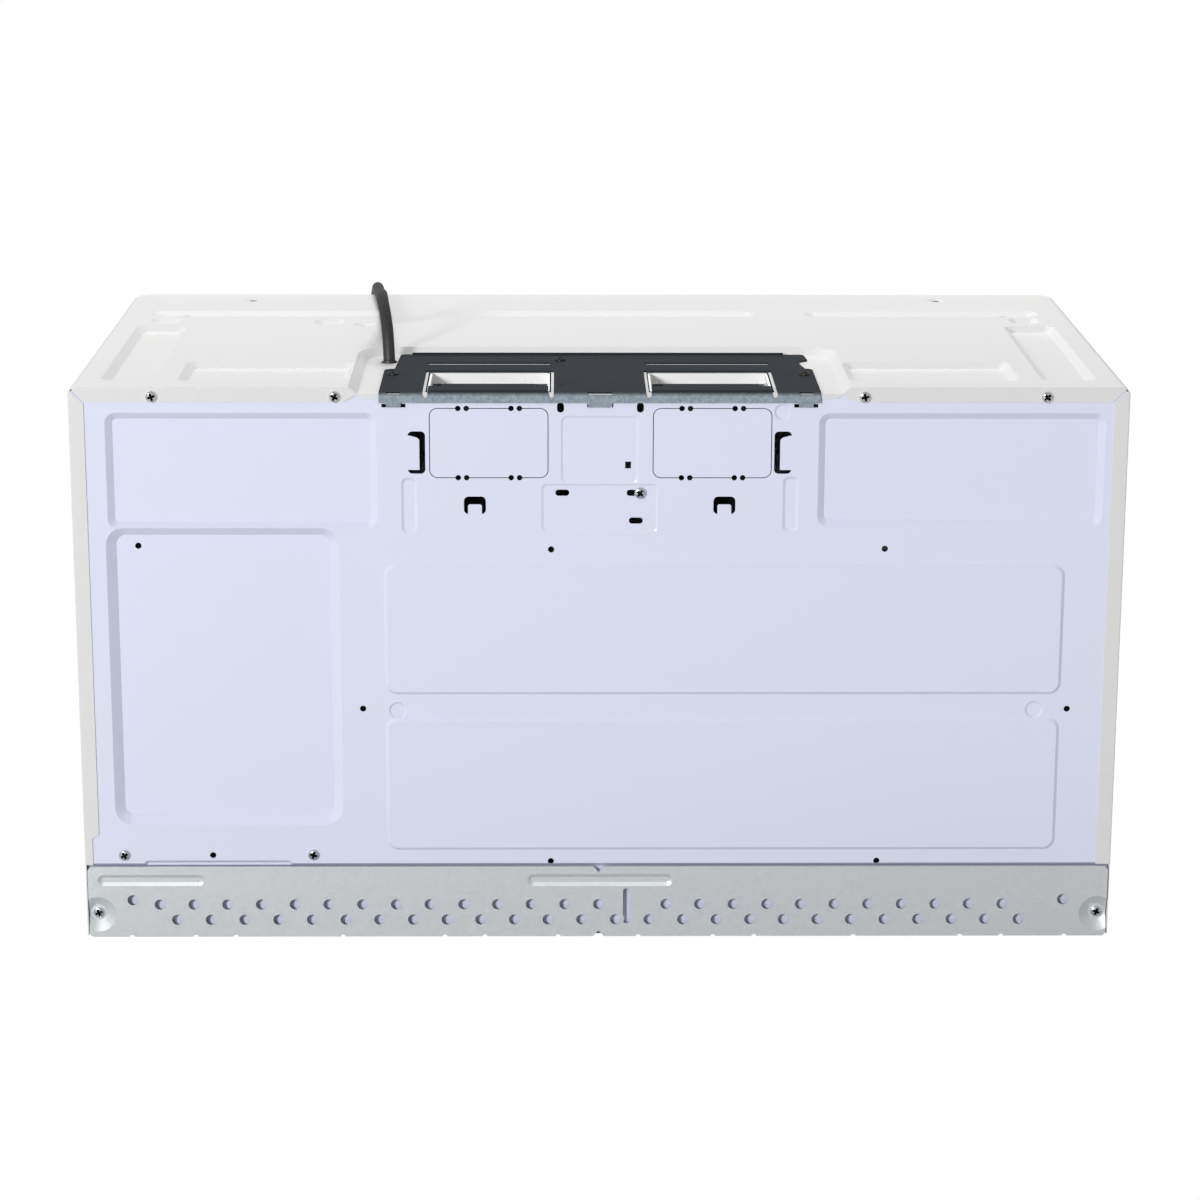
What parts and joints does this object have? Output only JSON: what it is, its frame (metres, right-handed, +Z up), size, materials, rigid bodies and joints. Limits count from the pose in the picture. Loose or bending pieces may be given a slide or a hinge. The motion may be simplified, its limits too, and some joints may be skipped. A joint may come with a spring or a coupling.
{
  "type": "over the range microwave",
  "caption": "Over-the-range microwave with a side-hinged door, a top vent with a twin blower, a hooked exhaust plate and a perforated wall plate.",
  "frame": {"origin": "middle of the underside, without the cord and plug", "axes": "+Z up, +Y towards the wall, +X towards the control side"},
  "size_m": [0.759, 0.4567, 0.4577],
  "materials": {
    "white_enamel": "gloss",
    "panel_enamel": "gloss",
    "galvanised": "satin",
    "black_enamel": "satin",
    "steel": "satin",
    "chrome": "polished",
    "aluminium": "satin",
    "oven_enamel": "gloss",
    "white_plastic": "gloss",
    "grey_plastic": "matte",
    "black_plastic": "gloss",
    "dark_plastic": "matte",
    "dark_glass": "gloss",
    "clear_glass": "gloss",
    "cord_rubber": "matte",
    "board": "satin",
    "charcoal": "matte",
    "mica": "matte"
  },
  "bodies": {
    "housing": {"outer_wrap": "white_enamel", "rear_panel": "panel_enamel", "mounting_plate": "galvanised", "exhaust_plate": "black_enamel", "base_plate": "galvanised", "cooktop_lamp_cover": "clear_glass", "cooktop_lamp": "grey_plastic", "oven_cavity": "oven_enamel", "front_frame": "white_enamel", "turntable_motor": "steel", "waveguide_cover": "mica", "waveguide": "galvanised", "magnetron": "steel", "hv_transformer": "steel", "hv_capacitor": "aluminium", "cooling_fan_shroud": "galvanised", "cooling_fan_motor": "steel", "noise_filter_board": "board", "oven_lamp": "grey_plastic", "blower_housing": "white_plastic", "blower_motor": "steel", "vent_grille": "white_plastic", "charcoal_filter": "charcoal", "upper_hinge": "steel", "lower_hinge": "steel", "interlock_bracket": "galvanised", "interlock_switches": "dark_plastic", "control_housing": "white_plastic", "control_glass": "black_plastic", "control_board": "board", "power_cord": "cord_rubber", "strain_relief": "dark_plastic", "power_plug": "cord_rubber", "case_screws": "chrome", "rear_screws": "chrome", "plate_screws": "chrome", "exhaust_screws": "black_enamel", "grille_screws": "chrome"},
    "door": {"door_frame": "white_enamel", "door_choke_cover": "dark_plastic", "door_outer_panel": "white_plastic", "door_window": "dark_glass", "door_handle": "white_plastic", "handle_screws": "steel"},
    "latch": {"door_latch": "grey_plastic", "latch_spring": "steel"},
    "turntable": {"turntable_coupler": "white_plastic", "glass_tray": "clear_glass"},
    "ring": {"roller_ring": "white_plastic"},
    "roller_1": {"ring_roller_1": "white_plastic"},
    "roller_2": {"ring_roller_2": "white_plastic"},
    "roller_3": {"ring_roller_3": "white_plastic"},
    "blower": {"blower_wheels": "grey_plastic"},
    "fan": {"cooling_fan_blade": "grey_plastic"},
    "filter_right": {"grease_filter_right": "aluminium"},
    "filter_left": {"grease_filter_left": "aluminium"}
  },
  "joints": [
    {"name": "door_hinge", "type": "hinge", "parent": "housing", "child": "door", "pos_m": [-0.3695, -0.1626, 0.18], "axis": [0, 0, -1], "range_deg": [0, 105]},
    {"name": "latch_slide", "type": "slide", "parent": "door", "child": "latch", "axis": [0, 0, 1], "range_m": [0, 0.005], "stiffness_N_per_m": 150, "springref_m": -0.004, "deforming": ["latch_spring"]},
    {"name": "tray_spin", "type": "hinge", "parent": "housing", "child": "turntable", "pos_m": [-0.1, 0.0324, 0.0736], "axis": [0, 0, 1], "continuous": true},
    {"name": "ring_spin", "type": "hinge", "parent": "housing", "child": "ring", "pos_m": [-0.1, 0.0324, 0.0663], "axis": [0, 0, 1], "continuous": true},
    {"name": "roller_spin_1", "type": "hinge", "parent": "ring", "child": "roller_1", "pos_m": [-0.005, 0.0324, 0.0663], "axis": [1, 0, 0], "continuous": true},
    {"name": "roller_spin_2", "type": "hinge", "parent": "ring", "child": "roller_2", "pos_m": [-0.1475, 0.11467, 0.0663], "axis": [-0.5, 0.866, 0], "continuous": true},
    {"name": "roller_spin_3", "type": "hinge", "parent": "ring", "child": "roller_3", "pos_m": [-0.1475, -0.04987, 0.0663], "axis": [-0.5, -0.866, 0], "continuous": true},
    {"name": "blower_spin", "type": "hinge", "parent": "housing", "child": "blower", "pos_m": [0, 0.1284, 0.348], "axis": [1, 0, 0], "continuous": true},
    {"name": "fan_spin", "type": "hinge", "parent": "housing", "child": "fan", "pos_m": [0.272, 0.1504, 0.316], "axis": [0, 1, 0], "continuous": true},
    {"name": "filter_right_slide", "type": "slide", "parent": "housing", "child": "filter_right", "axis": [0, 1, 0], "range_m": [0, 0.01]},
    {"name": "filter_left_slide", "type": "slide", "parent": "housing", "child": "filter_left", "axis": [0, 1, 0], "range_m": [0, 0.01]}
  ],
  "couplings": [
    {"joint": "ring_spin", "follows": "tray_spin", "ratio": 0.5},
    {"joint": "roller_spin_1", "follows": "tray_spin", "ratio": -6.7857},
    {"joint": "roller_spin_2", "follows": "tray_spin", "ratio": -6.7857},
    {"joint": "roller_spin_3", "follows": "tray_spin", "ratio": -6.7857}
  ]
}
